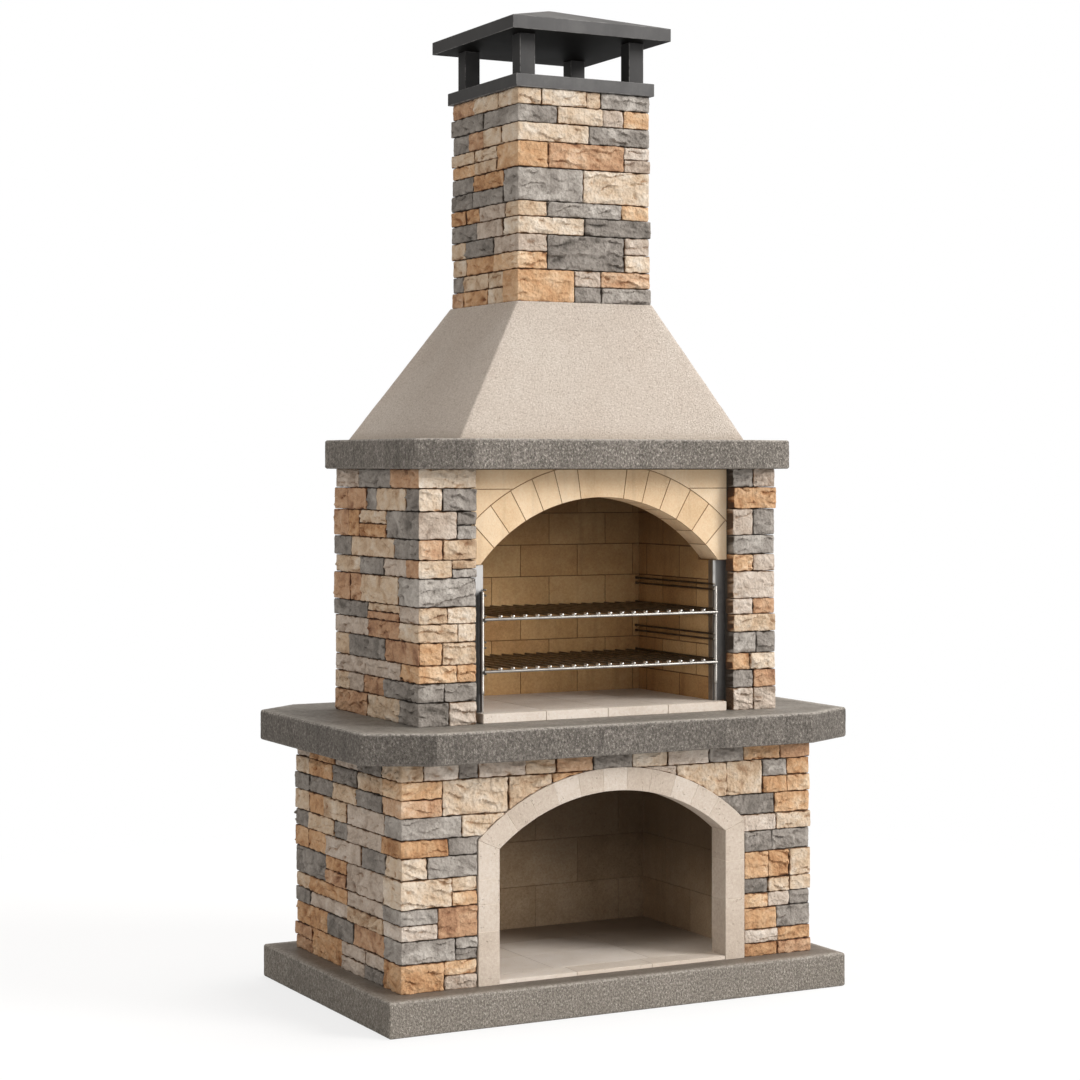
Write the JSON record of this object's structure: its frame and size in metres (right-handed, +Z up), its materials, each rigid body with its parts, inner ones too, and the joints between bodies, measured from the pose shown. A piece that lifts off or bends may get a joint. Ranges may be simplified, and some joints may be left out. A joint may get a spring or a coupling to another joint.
{
  "type": "masonry barbecue",
  "caption": "Masonry barbecue with an arched log store, slab worktop, brick-lined arched firebox, sliding grills, mantel, tapered hood, stone-faced chimney and hipped cowl.",
  "frame": {"origin": "on the floor under the middle of the worktop's plan", "axes": "+Z up, the front faces -Y, +X to the right of someone facing the front"},
  "size_m": [1.61, 0.97, 2.945],
  "materials": {
    "blockwork": "concrete block",
    "slab_concrete": "granular cast concrete",
    "stone_buff": "split face",
    "stone_greige": "split face",
    "stone_grey": "split face",
    "stone_ochre": "split face",
    "stone_russet": "split face",
    "flue_block": "fired clay",
    "cowl_paint": "dark grey satin paint",
    "arch_brick": "fireclay brick",
    "firebrick": "fireclay brick",
    "hearth_tile": "matt tile",
    "render": "fine sanded render",
    "steel": "brushed stainless",
    "surround_stone": "honed stone",
    "log_lining": "smooth cast block"
  },
  "bodies": {
    "masonry": {"base_back_wall": "blockwork", "base_front_piers": "blockwork", "base_left_wall": "blockwork", "base_lintel": "blockwork", "base_right_wall": "blockwork", "base_slab": "slab_concrete", "base_stones_buff": "stone_buff", "base_stones_greige": "stone_greige", "base_stones_grey": "stone_grey", "base_stones_ochre": "stone_ochre", "base_stones_russet": "stone_russet", "chimney_flue": "flue_block", "chimney_stones_buff": "stone_buff", "chimney_stones_greige": "stone_greige", "chimney_stones_grey": "stone_grey", "chimney_stones_ochre": "stone_ochre", "chimney_stones_russet": "stone_russet", "cowl_collar": "cowl_paint", "cowl_posts": "cowl_paint", "cowl_roof": "cowl_paint", "cowl_soffit": "cowl_paint", "fire_arch_keystone": "arch_brick", "fire_arch_left_spandrel": "arch_brick", "fire_arch_right_spandrel": "arch_brick", "fire_arch_voussoirs": "arch_brick", "fire_back_wall": "blockwork", "fire_left_wall": "blockwork", "fire_right_wall": "blockwork", "fire_stones_buff": "stone_buff", "fire_stones_greige": "stone_greige", "fire_stones_grey": "stone_grey", "fire_stones_ochre": "stone_ochre", "fire_stones_russet": "stone_russet", "firebrick_back": "firebrick", "firebrick_left": "firebrick", "firebrick_right": "firebrick", "hearth_tiles": "hearth_tile", "hood": "render", "left_jamb_angle": "steel", "left_rack_post": "steel", "left_rack_runners": "steel", "log_arch_keystone": "surround_stone", "log_arch_voussoirs": "surround_stone", "log_floor_tiles": "log_lining", "log_left_jamb": "surround_stone", "log_lining_back": "log_lining", "log_lining_left": "log_lining", "log_lining_right": "log_lining", "log_right_jamb": "surround_stone", "mantel": "slab_concrete", "right_jamb_angle": "steel", "right_rack_post": "steel", "right_rack_runners": "steel", "worktop": "slab_concrete"},
    "lower_grill": {"lower_grill_frame": "steel", "lower_grill_rods": "steel"},
    "upper_grill": {"upper_grill_frame": "steel", "upper_grill_rods": "steel"}
  },
  "joints": [
    {"name": "lower_grill_slide", "type": "slide", "parent": "masonry", "child": "lower_grill", "axis": [0, -1, 0], "range_m": [0, 0.3]},
    {"name": "upper_grill_slide", "type": "slide", "parent": "masonry", "child": "upper_grill", "axis": [0, -1, 0], "range_m": [0, 0.3]}
  ]
}
